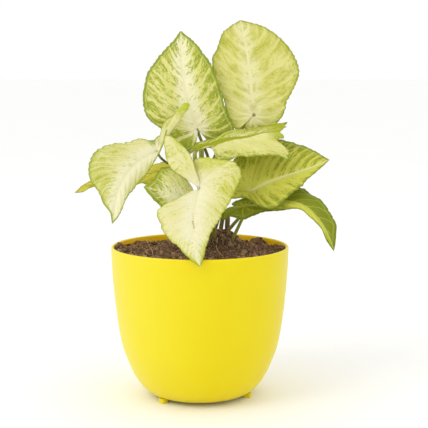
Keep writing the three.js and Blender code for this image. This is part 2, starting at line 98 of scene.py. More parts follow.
# Camera in metres, degrees and pixels. Lamps by name, place, size and power
FRAME_PIXELS, FOCAL_PIXELS, SENSOR = 428, 1101.8, 36
CAMERA_PLACE = (0, -0.8, 0.236)
CAMERA_TILT, CAMERA_TURN = 90 - 7.2185, -0.7384
LAMP_AIM = (0, 0, 0.13)
LAMPS = (("key", (-1.1, -0.9, 1.25), 0.9, 7.0), ("fill", (1.2, -1.2, 0.5), 1.0, 0.5))


def chain(start, end, count, size, tint, share):
    """Spots in a row, which make a line."""
    return tuple((tuple(place), 0.1, size, tint, share) for place in np.linspace(start, end, count))


# What a leaf has unless it says otherwise. Cover is the green near the midrib and at the margin.
# The entry that acts by side is painted shade: it makes one half of the blade greener and darker than
# the other.
PLAIN = dict(
    cup=1.5, wave=0.5, veins=10, torn=0, slot="leaf_variegated", vein_width=0.15, band=0.14,
    band_width=1.1, mid_width=0.9, streak=0.11, cloud_scale=45, cloud=0.35, cover=(0.38, 0.52),
    lobe_cover=0, tip_cover=0, tip_from=0.75, side_cover=0, edge_cover=0.15, edge_width=4,
    broad=0.7, narrow=0.8, hair=0.7, fine=0.4, soft=0.14, vein=0.7, mid=0.8, rim=0.8,
    rim_width=1, heart=(2, 12, 0.5), cream="#e2dc9c", tint="#d6d37c", white="#eae4c0",
    green="#a9b03a", deep="#7f8c1e", mid_colour="#e4ddb0", rim_colour="#8f9e2c",
    under="#c4c688", stalk=("#b5b65c", "#8f9432", "#735c34"), glow=0.15, spots=(),
)
# Each leaf's midrib, outline and petiole as in the part's source, in millimetres, then how it is
# coloured. Left and right are as seen on the upper face with the tip ahead. A spot is a place, its
# inner and outer radius, a colour and its share.
LEAVES = {}
LEAVES["leaf_top_left"] = dict(
    midrib=((-2, 2, 197), (-8, 4.5, 214), (-12.5, 9, 239), (-14, 20, 268)),
    left_lobe=((-2.1, 1.4, 194), (-2.2, 0.6, 191), (-2.4, -0.3, 188), (-3.4, -1.2, 184.8),
        (-8, -1, 181.5), (-13, -1, 181), (-20, 0, 186), (-27.5, 2, 196.5)),
    left_edge=((-37.5, 4, 204), (-41, 5, 215.5), (-40.5, 6, 227), (-37, 8, 239.5), (-29.5, 11, 249),
        (-21.5, 15, 257.5)),
    right_lobe=((1.5, 3, 192.7), (5.1, 5, 188.3), (9, 7, 185), (15, 9, 186), (21, 10, 190.5),
        (25, 11, 197.5)),
    right_edge=((22, 10, 205), (17.5, 9, 214.5), (15, 9, 225.5), (11, 10, 236.5), (6, 12, 247),
        (-3.5, 16, 259)),
    petiole=((1, 3, 188.5), (4, 4, 181.5), (6.5, 5, 174), (10.5, 7, 151.5), (14, 6, 137),
        (13.5, 4.5, 130.5)),
    foot=(11, 3), radii=(1.1, 1.5), seed=1, veins=7, cover=(0.36, 0.6), lobe_cover=0.16, mid_width=1.4,
    vein=0.85, band=0.3, band_width=2, heart=(3, 14, 0.85), cream="#dcd68e", tint="#d0cd70",
    edge_cover=0.34, edge_width=5, rim_width=1.5, stalk=("#6f7626", "#646a1e", "#6f6a30"),
    spots=(
        ((-18.5, 9, 251.5), 0.5, 3, "#7f7a34", 0.8),
    ),
)
LEAVES["leaf_top_right"] = dict(
    midrib=((40, 15, 206.5), (38, 16, 224.5), (35.5, 20, 248), (30.5, 38, 276.5)),
    left_lobe=((36.2, 14.3, 202.7), (31.6, 14, 198.2), (27.7, 15, 195.7), (24.5, 16, 198)),
    left_edge=((20, 17, 209), (15.5, 19, 222.5), (9.5, 22, 235.5), (9.5, 25, 245.5), (13, 29, 257),
        (18.5, 33, 268)),
    right_lobe=((36.8, 16, 202.2), (32.8, 17, 196.6), (37, 17, 194), (44.5, 17, 195), (52.5, 15, 197)),
    right_edge=((58.5, 14, 202.5), (62.5, 13, 210), (64.5, 13, 216.5), (68, 14, 223), (73, 17, 235),
        (72, 19, 243.5), (67, 23, 254.5), (57.5, 28, 265), (45, 34, 272.5)),
    petiole=((36.5, 18.5, 202), (32.5, 20.5, 197), (28.5, 19.5, 193.5), (19.5, 15, 186.5),
        (12, 13, 177.5), (7.5, 12, 162), (12, 12, 142), (16.5, 12, 132)),
    foot=(15.5, 7), radii=(1.2, 1.7), seed=2, veins=7, cream="#d9d488", tint="#cbc768", green="#b4b33c",
    deep="#989c2c", cover=(0.42, 0.52), soft=0.26, cloud=0.8, cloud_scale=30, mid_width=1,
    rim_colour="#98a234", mid_colour="#e2dca8", narrow=0.5, hair=0.4, fine=0.3, band=0.26,
    band_width=2.6, edge_cover=0.3, edge_width=5.5,
    spots=(
        ((39.5, 15, 212), 0.5, 4.5, "#a8993c", 0.5),
        ((40, 15, 206.5), 0.7, 1.9, "#8a5a20", 0.85),
        ((40, 15, 206.5), 0.1, 0.9, "#e2d49c", 0.9),
    ),
)
LEAVES["leaf_middle_right"] = dict(
    midrib=((-2, -6, 182.5), (6, -6, 185), (17.5, -6, 189), (32.5, -5, 191), (47, -4, 194.5),
        (58, -2, 194.5)),
    left_lobe=((-4.5, -4.5, 184), (-7, -4, 182.5)),
    left_edge=((-4, -3, 185), (-0.5, -2, 187.5), (6, -1, 189), (12.5, 1, 190.5), (20.5, 4, 195),
        (32.5, 8, 196.5), (45.5, 9, 197.5), (55, 8, 200), (63, 6, 199.5)),
    right_lobe=((-4.5, -7, 181.5),),
    right_edge=((0, -8, 182), (6.5, -8.5, 184), (14, -9.5, 185.5), (17.5, -11.5, 184.5),
        (14, -15, 180.5), (12, -18, 176), (18, -20, 175.5), (28.5, -21, 177.5), (41, -22, 179),
        (54, -21, 178.5), (64, -18, 177), (63.5, -15, 182), (56, -7, 188), (61, -4, 191.5)),
    petiole=((-3.5, -5.5, 180), (-3, -6, 172.5), (-0.5, -6, 160), (3, -4.5, 145.5), (6, -2.5, 134.5)),
    foot=(7, -1), radii=(1.6, 1.8), wave=0.4, seed=3, torn=1.1, cream="#d8d486", tint="#c8c560",
    cover=(0.38, 0.56), side_cover=-0.14, mid_width=3.4, mid=1, mid_colour="#9aa118", green="#9fa52a",
    deep="#7c881a", cloud=0.6, rim=0.7, white="#e4e0a8",
    spots=(
        ((63, 6, 199.5), 1, 3, "#5f4216", 0.9),
        ((63, -14, 184), 0.6, 2.6, "#7c5a20", 0.8),
        ((60, 0, 194), 4, 16, "#a9ae1e", 0.85),
    ),
)
LEAVES["leaf_right"] = dict(
    midrib=((36.5, -6, 151.5), (45, -9, 156.5), (57, -11, 162), (74, -11, 167.5), (93.5, -9, 175)),
    left_lobe=((31.5, -4.5, 149), (25, -4, 148.5), (21, -2, 152), (20.5, 1, 159.5), (23.5, 4.5, 171),
        (32.5, 9, 181.5)),
    left_edge=((43, 12, 186), (53.5, 13, 188), (63.5, 11, 187.5), (73.5, 7, 185), (84, 0, 180.5)),
    right_lobe=((32.5, -7.2, 151), (27, -8.8, 150.3), (21, -10, 149.5), (22.5, -12, 147.6),
        (29.5, -14, 147.6)),
    right_edge=((36, -17, 146.5), (40.5, -20, 144.5), (45.5, -23, 142), (51, -25, 141.5),
        (56, -24, 144), (62.5, -22, 149.5), (71.5, -19, 156.5), (82, -14, 165)),
    petiole=((37, 0, 147), (36, 4, 143), (33, 4.5, 136.5), (28.5, 3, 131), (23.5, 1, 125.5)),
    foot=(20, -1), radii=(1.1, 1.5), wave=0.6, slot="leaf_green", seed=4, veins=9, cream="#c8c650",
    tint="#bdbc42", green="#9ba028", deep="#66761a", mid_colour="#d9d490", mid_width=1.3,
    cover=(0.38, 0.6), vein_width=0.4, band=0.34, band_width=2, vein=0.85, rim_colour="#8a9424",
    cloud=0.6, side_cover=-0.12, heart=(1, 5, 0.3), white="#d2cf78",
)
LEAVES["leaf_low_right"] = dict(
    midrib=((33.5, -6, 141), (46.5, -9, 142.5), (61, -13, 145.5), (73.5, -21, 143.5), (83, -31, 135.5),
        (89.5, -38, 125), (93.5, -41, 113.5)),
    left_lobe=((27.5, -5, 141), (23.5, -5, 142), (25, -4.5, 144.5), (28, -4, 145.5), (31.5, -4, 146.5)),
    left_edge=((39.5, -4, 147.5), (49.5, -3, 152), (61, -4, 155), (72.5, -7, 155), (82.5, -16, 149),
        (91, -27, 141.5), (95, -33, 133), (95.5, -38, 122.5)),
    right_lobe=((27.5, -7, 141), (22, -8, 140.9), (18, -9, 138.5), (15.5, -9.5, 133),
        (16.5, -10.5, 131), (20.5, -11, 133.5), (25.5, -12, 134), (31, -13, 132.5)),
    right_edge=((37.5, -13, 134.5), (44.5, -14, 137), (57.5, -18, 139.5), (71, -27, 141),
        (78, -34, 136.5), (84.5, -39.5, 128.5), (89, -42, 120)),
    petiole=((34.5, -2.5, 137), (31, -3, 131.5), (26.5, -4.5, 122.5)),
    foot=(24, -6), radii=(1.1, 1.5), cup=1, wave=0.8, slot="leaf_green", seed=5, veins=8,
    cream="#cccb4c", tint="#b8b93a", green="#8c951e", deep="#6f7b12", mid_colour="#cfce62",
    cover=(0.56, 0.66), side_cover=-0.24, vein=0.5, band=0.08, broad=0.4, narrow=0.4, hair=0.4,
    rim_colour="#74801a", heart=(1, 5, 0), under="#b6b75a",
)
LEAVES["leaf_front"] = dict(
    midrib=((-0.5, -33, 157), (-2, -37, 150.5), (-4, -47, 140), (-4.5, -59, 127), (-3, -67, 117.5),
        (0.5, -70.5, 107.5)),
    left_lobe=((-0.5, -31, 163), (-3, -28.5, 169.5), (-5, -26.5, 174.5), (-3, -26.5, 177.5),
        (4.5, -27, 178.5), (17, -28, 176.5), (24.5, -29, 175), (28.5, -31, 169), (27.5, -34, 161.5)),
    left_edge=((23.5, -38.5, 153.5), (21, -43, 148), (15.5, -48, 141), (12.5, -53, 136),
        (9, -58, 130.5), (4.5, -65, 120.5)),
    right_lobe=((-0.5, -33.5, 163), (-2.5, -33.5, 169), (-5.5, -32, 178), (-11.5, -29, 186.5),
        (-17.5, -27, 191.5), (-23.5, -25, 193.5), (-24.5, -25, 186), (-24, -27, 178), (-20, -29, 170.5),
        (-13, -31, 166), (-5.5, -32, 161.5)),
    right_edge=((-1.5, -34, 156), (-7, -36, 155), (-16.5, -38, 150), (-25, -42, 146), (-29.5, -46, 142),
        (-27.5, -51, 134), (-21.5, -57.5, 125), (-12, -64, 117.5), (-5.5, -68, 111.5)),
    petiole=((1, -27, 151.5), (4.5, -19, 142), (8.5, -12, 132.5), (10, -8.5, 125.5)),
    foot=(10.5, -7), radii=(1.1, 2.3), slot="leaf_cream", seed=6, cream="#e0daa4", tint="#d6d186",
    green="#c2c450", deep="#a6aa30", cover=(0.22, 0.42), lobe_cover=0.03, tip_cover=0.3, soft=0.2,
    vein=0.5, mid_width=0.5, rim=0.6, rim_colour="#b4b840", cloud=0.6, cloud_scale=35, white="#e8e3c2",
    heart=(2, 16, 0.8),
    spots=(
        ((5.5, -27.5, 174), 2, 10, "#bcc22a", 0.75), ((15, -28, 175.5), 1, 7, "#bcc22a", 0.65),
        ((0, -28, 172), 1, 5, "#b0b626", 0.65), ((-26.5, -50, 135), 0.4, 2.4, "#c9a53a", 0.5),
        ((-23, -55, 130), 0.4, 2.4, "#c9a53a", 0.4),
        *chain((-5, -46.5, 140.5), (-3.5, -57, 129.5), 9, 0.8, "#a58a52", 0.6),
        *chain((-5, -51, 136), (-4, -55, 132), 5, 0.9, "#6f5220", 0.8),
    ),
)
LEAVES["leaf_under"] = dict(
    midrib=((-2, -22, 147), (-13.5, -24, 150), (-26, -28, 154), (-39.5, -33, 158)),
    left_lobe=((-0.5, -24, 142.5), (-4, -27, 139)),
    left_edge=((-11, -30, 137), (-19, -31, 138.5), (-26, -32, 142.5), (-31, -32, 147.5),
        (-35.5, -33, 152.5)),
    right_lobe=((-4, -20, 150), (-7.5, -19, 154)),
    right_edge=((-8.5, -18, 160), (-14, -16, 166), (-21.5, -15, 171), (-27.5, -18, 169.5),
        (-31.5, -23, 164.5), (-35.5, -29, 160.5)),
    petiole=((-1.5, -17, 142.5), (-0.5, -9, 133)),
    foot=(1, -4), radii=(1, 1.4), seed=7, veins=8, cream="#e0dc98", tint="#d0ce74", green="#a6ad26",
    deep="#8c9418", cover=(0.3, 0.56), tip_cover=0.4, tip_from=0.35, edge_cover=0.35, edge_width=6,
    rim_colour="#98a21c", rim_width=1.6, mid=0.2, mid_width=0.4, white="#efebca", heart=(3, 14, 0.5),
    glow=0.3,
)
LEAVES["leaf_left"] = dict(
    midrib=((-30.5, -15, 181.5), (-39.5, -22, 177.5), (-48, -31, 171), (-56, -43, 157),
        (-60, -53, 134.5)),
    left_lobe=((-29.5, -14, 187), (-28, -12, 195), (-25, -9, 203), (-17.5, -6.5, 208.5), (-11, -5, 215),
        (-7.5, -5, 214.5), (-9, -6, 211), (-15.5, -8.5, 206), (-21, -11, 200), (-24, -14, 194),
        (-26, -17, 186.5)),
    left_edge=((-29, -17, 180), (-33.5, -22, 172), (-41.5, -31, 161.5), (-49, -40, 153.5),
        (-52, -46, 147.5), (-56.5, -51.5, 138.5)),
    right_lobe=((-31, -13, 184.5), (-29.5, -11, 188), (-28.5, -10, 192.5), (-30.5, -10.5, 191.5),
        (-32.5, -11.5, 189.5)),
    right_edge=((-35, -12.5, 189), (-42.5, -13, 190.5), (-52, -17, 188.5), (-63, -24, 187),
        (-73, -32, 182.5), (-77, -38, 173), (-75.5, -43, 164.5), (-70, -46, 156), (-66, -50, 148),
        (-61.5, -52, 142.5)),
    petiole=((-28, -13, 177), (-24, -11, 173.5), (-15, -6, 168), (-7, -2, 164), (0, 1.5, 156),
        (2.5, 3.5, 144.5), (3, 4.5, 133.5)),
    foot=(2, 4.5), radii=(0.9, 1.4), cup=2, slot="leaf_cream", seed=8, cream="#ded9a0", tint="#d3cf80",
    green="#babc50", deep="#999e2c", cover=(0.26, 0.5), side_cover=0.08, narrow=0.6, hair=0.5,
    streak=0.08, soft=0.2, vein=0.5, rim=0.75, rim_colour="#98a234", cloud=0.5, white="#ebe6c4",
    heart=(2, 12, 0.8), stalk=("#8f9440", "#55581a", "#6d6a2c"),
    spots=(
        ((-9, -5.5, 213), 5, 13, "#b3bd1c", 0.9),
        ((-34, -12, 187.5), 1.5, 4.5, "#7f9020", 0.7),
    ),
)
LEAVES["leaf_far_left"] = dict(
    midrib=((-20.5, 4, 167.5), (-35, 9, 163.5), (-55, 15, 158.5), (-74.5, 21, 154.5),
        (-94.5, 26, 147.5)),
    left_lobe=((-20.5, 2, 164.5), (-24.5, 1, 160.5)),
    left_edge=((-32, 2, 156.5), (-44.5, 6, 156.5), (-57.5, 11, 155), (-70.5, 16, 153),
        (-80.5, 21, 152.5), (-87.5, 24, 148.5)),
    right_lobe=((-21, 5, 171), (-25.5, 7, 172.5)),
    right_edge=((-31, 10, 171), (-43, 14, 167.5), (-58, 18, 163), (-71, 21, 160), (-81.5, 23, 157),
        (-88.5, 25, 153)),
    petiole=((-14.5, 5, 165), (-6.5, 8, 160.5), (0, 10, 151.5), (2.5, 11, 136.5)),
    foot=(3, 11), radii=(1, 1.3), wave=0.4, slot="leaf_green", seed=9, veins=8, cream="#cfc646",
    tint="#c3bc36", green="#b5b02c", deep="#a19e1c", mid_colour="#d5ce62", cover=(0.4, 0.6),
    rim_colour="#a5a024", white="#d5ce62",
)
LEAVES["leaf_back"] = dict(
    midrib=((0, 14, 183), (-6, 25, 180.5), (-13, 42, 185), (-17.5, 58, 189.5), (-21, 70, 186.5)),
    left_lobe=((-2.5, 13, 181), (-8, 16, 177.5)),
    left_edge=((-13.5, 22, 178), (-18.5, 30, 181), (-22.5, 42, 186.5), (-24, 56, 190)),
    right_lobe=((0, 17, 186),),
    right_edge=((-3.5, 22, 185.5), (-6.5, 30, 188), (-9.5, 44, 193.5), (-14.5, 58, 194.5)),
    petiole=((1, 13.5, 180), (1.2, 14, 173), (2.5, 15, 158), (5.5, 15, 143.5), (6.5, 14.5, 132)),
    foot=(8, 14), radii=(2.1, 1.5), cup=1, wave=0.3, slot="leaf_green", seed=10, veins=8,
    cream="#c3c45a", green="#8e962a", deep="#6c7818", cover=(0.5, 0.8),
    stalk=("#b5b868", "#a3a850", "#8c8a44"),
)


# Curves and meshes
class Path:
    """A smooth curve through points, read by the share of its length."""

    def __init__(self, points, steps=40):
        p = np.array(points, float)
        p = np.vstack([2 * p[0] - p[1], p, 2 * p[-1] - p[-2]])
        parts = []
        for p0, p1, p2, p3 in zip(p, p[1:], p[2:], p[3:]):
            d0, d1, d2 = (
                max(np.sum((b - a) ** 2), 1e-8) ** 0.25 for a, b in ((p0, p1), (p1, p2), (p2, p3))
            )
            t1 = d1 * ((p1 - p0) / d0 - (p2 - p0) / (d0 + d1) + (p2 - p1) / d1)
            t2 = d1 * ((p2 - p1) / d1 - (p3 - p1) / (d1 + d2) + (p3 - p2) / d2)
            w = np.linspace(0, 1, steps, endpoint=False)[:, None]
            bend = -3 * p1 + 3 * p2 - 2 * t1 - t2
            parts.append(p1 + t1 * w + bend * w**2 + (2 * p1 - 2 * p2 + t1 + t2) * w**3)
        self.points = np.vstack(parts + [p[-2:-1]])
        run = np.linalg.norm(np.diff(self.points, axis=0), axis=1)
        run = np.concatenate([[0], np.cumsum(run)])
        self.length = run[-1]
        self.shares = run / run[-1]
        self.knots = self.shares[::steps]

    def at(self, share):
        return np.stack([np.interp(share, self.shares, c) for c in self.points.T], axis=-1)


def hills(seed, terms, low, high):
    """A smooth random function of one number, about -1 to 1."""
    draw = np.random.default_rng(seed)
    waves = draw.uniform(low, high, terms)
    shifts = draw.uniform(0, 2 * math.pi, terms)
    return lambda x: sum(np.sin(w * x + s) for w, s in zip(waves, shifts)) / math.sqrt(terms)


def fog(points, scale, seed, octaves):
    """Smooth noise about -1 to 1 at each of the points."""
    shift = Vector((seed * 13.7, seed * 7.1, seed * 3.3))
    octave = lambda p, k: noise.noise(Vector(p) * (scale * 2**k) + shift) / 2**k
    return np.array([sum(octave(p, k) for k in range(octaves)) for p in points])


def step(x, low, high):
    """Smooth rise from 0 at low to 1 at high."""
    t = np.clip((x - low) / (high - low), 0, 1)
    return t * t * (3 - 2 * t)


def normals_of(points, faces):
    """Unit normals at the points of a triangle mesh."""
    a, b, c = (points[faces[:, corner]] for corner in range(3))
    across = np.cross(b - a, c - a)
    out = np.zeros_like(points)
    for corner in range(3):
        np.add.at(out, faces[:, corner], across)
    return out / np.maximum(np.linalg.norm(out, axis=1)[:, None], 1e-12)


def triangles(quads):
    """Two triangles for each quad, without those that have no area."""
    faces = quads[:, [[0, 1, 2], [0, 2, 3]]].reshape(-1, 3)
    return faces[(faces != np.roll(faces, 1, axis=1)).all(axis=1)]


def ring_faces(rows, sides):
    """Quads between rings of points, and fans to the two end points that follow the rings."""
    j = np.arange(sides)
    k = (j + 1) % sides
    low = sides * np.arange(rows - 1)[:, None]
    quads = np.stack([low + j, low + k, low + sides + k, low + sides + j], axis=-1).reshape(-1, 4)
    end = rows * sides
    first = np.column_stack([0 * j + end, k, j])
    last = np.column_stack([0 * j + end + 1, end - sides + j, end - sides + k])
    return quads, np.vstack([first, last])


def tube(path, radius_at, sides=16, pitch=1.5):
    """Points, triangles and shares of length of a closed tube along a path."""
    shares = np.linspace(0, 1, max(8, int(path.length / pitch)) + 1)
    centres = path.at(shares)
    along = np.gradient(centres, axis=0)
    along /= np.linalg.norm(along, axis=1)[:, None]
    side = np.cross(along[0], (0.3, 1, 0.2))
    points = []
    for centre, ahead, share in zip(centres, along, shares):
        side = side - ahead * (side @ ahead)
        side /= np.linalg.norm(side)
        other = np.cross(ahead, side)
        for j in range(sides):
            angle = 2 * math.pi * j / sides
            spoke = side * math.cos(angle) + other * math.sin(angle)
            points.append(centre + radius_at(share, angle) * spoke)
    quads, fans = ring_faces(len(shares), sides)
    share = np.concatenate([np.repeat(shares, sides), [0, 1]])
    return np.array(points + [centres[0], centres[-1]]), np.vstack([triangles(quads), fans]), share


def make_piece(name, points, faces, materials, slots=None, facts=None, sharp=None):
    """A mesh object in metres from points in millimetres, riding on the plant's one body."""
    mesh = bpy.data.meshes.new(name)
    mesh.from_pydata([tuple(p) for p in np.asarray(points) * MM], [], [tuple(f) for f in faces])
    mesh.validate()
    for material in materials:
        mesh.materials.append(material)
    mesh.shade_smooth()
    if slots is not None:
        mesh.polygons.foreach_set("material_index", slots)
    for key, values in (facts or {}).items():
        kind, field = ("FLOAT_VECTOR", "vector") if np.ndim(values) == 2 else ("FLOAT", "value")
        mesh.attributes.new(key, kind, "POINT").data.foreach_set(field, np.ravel(values))
    if sharp is not None:
        edges = np.zeros(len(mesh.edges) * 2, int)
        mesh.edges.foreach_get("vertices", edges)
        marks = [tuple(e) in sharp for e in np.sort(edges.reshape(-1, 2), axis=1).tolist()]
        mesh.attributes.new("sharp_edge", "BOOLEAN", "EDGE").data.foreach_set("value", marks)
    mesh.update()
    piece = bpy.data.objects.new(name, mesh)
    bpy.context.scene.collection.objects.link(piece)
    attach(piece, "root")
    return piece


# Materials
def rgb(text):
    """Linear colour from a hex code."""
    parts = [int(text[i : i + 2], 16) / 255 for i in (1, 3, 5)]
    return tuple(c / 12.92 if c <= 0.04045 else ((c + 0.055) / 1.055) ** 2.4 for c in parts) + (1.0,)


class Look:
    """A node material, with short calls for its nodes. A value may be a socket or a hex code."""

    def __init__(self, name, **values):
        self.material = bpy.data.materials.new(name)
        self.material.use_nodes = True
        self.tree = self.material.node_tree
        self.tree.nodes.clear()
        self.skin = self.node("BsdfPrincipled")
        self.node("OutputMaterial", Surface=self.skin.outputs[0])
        self.set(**values)

    def put(self, inputs, values):
        for key, value in values.items():
            socket = inputs[key.replace("_", " ") if isinstance(key, str) else key]
            if isinstance(value, bpy.types.NodeSocket):
                self.tree.links.new(value, socket)
            else:
                socket.default_value = rgb(value) if isinstance(value, str) else value

    def set(self, **values):
        """Sets what the surface shader reads."""
        self.put(self.skin.inputs, values)

    def node(self, kind, **values):
        made = self.tree.nodes.new("ShaderNode" + kind)
        self.put(made.inputs, values)
        return made

    def math(self, operation, *values):
        made = self.node("Math")
        made.operation = operation
        self.put(made.inputs, dict(enumerate(values)))
        return made.outputs[0]

    def times(self, a, b):
        return self.math("MULTIPLY", a, b)

    def less(self, a, b):
        return self.math("SUBTRACT", a, b)

    def scaled(self, a, factor, shift):
        return self.math("MULTIPLY_ADD", a, factor, shift)

    def mix(self, share, a, b):
        """Colour a, with this share of colour b."""
        made = self.node("Mix")
        made.data_type = "RGBA"
        self.put(made.inputs, {0: share, 6: a, 7: b})
        return made.outputs[2]

    def rise(self, value, low, high, bottom=0.0, top=1.0):
        """Smooth change from bottom at low to top at high."""
        ends = dict(From_Min=low, From_Max=high, To_Min=bottom, To_Max=top)
        made = self.node("MapRange", Value=value, **ends)
        made.interpolation_type = "SMOOTHSTEP"
        return made.outputs[0]

    def fall(self, value, low, high, top=1.0):
        return self.rise(value, low, high, top, 0.0)

    def fact(self, name, kind="Fac"):
        """What the mesh says under this name."""
        made = self.node("Attribute")
        made.attribute_name = name
        return made.outputs[kind]

    def parts(self, vector):
        return self.node("SeparateXYZ", Vector=vector).outputs[:3]

    def place(self):
        return self.node("TexCoord").outputs["Object"]

    def grain(self, scale, detail=2.0, rough=0.5, at=None):
        """Noise about 0 to 1, in the object's space unless another place is given."""
        at = self.place() if at is None else at
        return self.node("TexNoise", Vector=at, Scale=scale, Detail=detail, Roughness=rough).outputs[0]

    def stretched(self, scales, detail):
        """Noise with a scale for each axis."""
        made = self.node("Mapping", Vector=self.place(), Scale=scales)
        return self.grain(1.0, detail, 0.6, made.outputs[0])

    def spot(self, centre, inner, outer):
        """1 within inner of a point, 0 beyond outer, in millimetres."""
        made = self.node("VectorMath")
        made.operation = "DISTANCE"
        self.put(made.inputs, {0: self.place(), 1: [c * MM for c in centre]})
        return self.fall(made.outputs["Value"], inner * MM, outer * MM)

    def bump(self, height, strength, distance):
        made = self.node("Bump", Strength=strength, Distance=distance, Height=height)
        self.set(Normal=made.outputs[0])


# Leaves
def ground(x, y):
    """Height of the potting mix before its fine lumps, as in the part's source."""
    away = (x - MOUND_CENTRE[0]) ** 2 + (y - MOUND_CENTRE[1]) ** 2
    height = SOIL_LEVEL + SOIL_SLOPE * y + MOUND_HEIGHT * np.exp(-away / (2 * MOUND_SPREAD**2))
    for size, fx, fy, sx, sy in LUMPS:
        height = height + size * np.sin(fx * x + sx) * np.sin(fy * y + sy)
    return height


def leaf_sheet(leaf):
    """The middle surface of a blade: points, triangles and what the material reads there.

    Ribs fan out from the joint over the lobe, then leave the midrib one after another.
    """
    joint, tip = leaf.midrib[0], leaf.midrib[-1]
    midrib = Path(leaf.midrib)
    halves = []
    sides = ((-1, leaf.left_lobe, leaf.left_edge), (1, leaf.right_lobe, leaf.right_edge))
    for side, lobe, edge in sides:
        margin = Path([joint, *lobe, *edge, tip])
        halves.append((side, margin, margin.knots[len(lobe) + 1]))
    last = max(int(margin.length * (1 - waist) / SHEET_PITCH) for _, margin, waist in halves)
    outs = np.linspace(0, 1, SHEET_COLUMNS + 1)
    t = (0.6 * outs + 0.4 * (0.5 - 0.5 * np.cos(math.pi * outs)))[None, :]

    along = np.linspace(0, 1, last + 1)
    leave = along**RIB_LAG
    points, faces = [midrib.at(leave)], []
    # The midrib counts as far from the edge, with its veins 5 mm apart
    still = np.tile((0, 0, 30, 5), (last + 1, 1))
    facts = [np.column_stack([leaf.veins * along, still, leave, np.zeros((last + 1, 2))])]
    for side, margin, waist in halves:
        fan = max(4, int(margin.length * waist / SHEET_PITCH))
        shares = np.concatenate([waist * np.arange(1, fan + 1) / fan, waist + (1 - waist) * along[1:]])
        starts = np.concatenate([np.zeros(fan), leave[1:]])
        a, b = midrib.at(starts), margin.at(shares)
        reach = np.linalg.norm(b - a, axis=1)
        toward = (b - a) / np.maximum(reach, 1e-6)[:, None]
        seed = leaf.seed + 3 * side
        ripple = RIPPLE * hills(20 + leaf.seed + side, 8, 12, 60)(shares)
        scallop = SCALLOP * hills(70 + seed, 9, 90, 260)(shares)
        torn = leaf.torn * step(shares, 0.62, 0.8)
        fray = torn * hills(50 + seed + 2 * side, 9, 60, 200)(shares)
        fade = np.minimum(1, reach / MARGIN_FADE) * step(1 - shares, 0, 0.06)
        b = b + toward * ((ripple + scallop + fray) * fade)[:, None]
        reach = np.linalg.norm(b - a, axis=1)
        grid = a[:, None] + (b - a)[:, None] * t[..., None]
        lobe_vein = LOBE_VEINS * (shares / waist - 1)
        vein = np.where(shares < waist, lobe_vein, leaf.veins * (shares - waist) / (1 - waist))
        lean = LEAN * leaf.veins * step(shares, 0, waist)
        vein = vein[:, None] - lean[:, None] * t**2
        per_vein = np.maximum(np.abs(np.gradient(vein, axis=0)), 1e-4)
        between = np.cross(np.gradient(grid, axis=0), toward[:, None])
        spread = np.linalg.norm(between, axis=2) / per_vein
        wave = leaf.wave * t**2 * np.sin(10 * math.pi * shares)[:, None]
        curl = hills(90 + seed, 8, 25, 90)(shares) * fade
        height = leaf.cup * 4 * t * (1 - t) + wave + RUFFLE * t**5 * curl[:, None]
        away, start, ease = (values[:, None] for values in (reach, starts, reach / reach.max()))
        values = (vein, t, away * t, away * (1 - t), np.minimum(spread, 14), start, side, height * ease)
        values = np.stack(np.broadcast_arrays(*values), axis=-1)

        index = np.full((len(shares), SHEET_COLUMNS + 1), last)
        index[:, 0] = np.maximum(0, np.arange(len(shares)) - fan + 1)
        inner = index[:-1, 1:]
        inner[:] = sum(map(len, points)) + np.arange(inner.size).reshape(inner.shape)
        points.append(grid[:-1, 1:].reshape(-1, 3))
        facts.append(values[:-1, 1:].reshape(-1, values.shape[-1]))
        quads = np.stack([index[:-1, :-1], index[:-1, 1:], index[1:, 1:], index[1:, :-1]], axis=-1)
        faces.append(triangles(quads.reshape(-1, 4)[:, ::side]))
    return np.vstack(points), np.vstack(faces), np.vstack(facts)


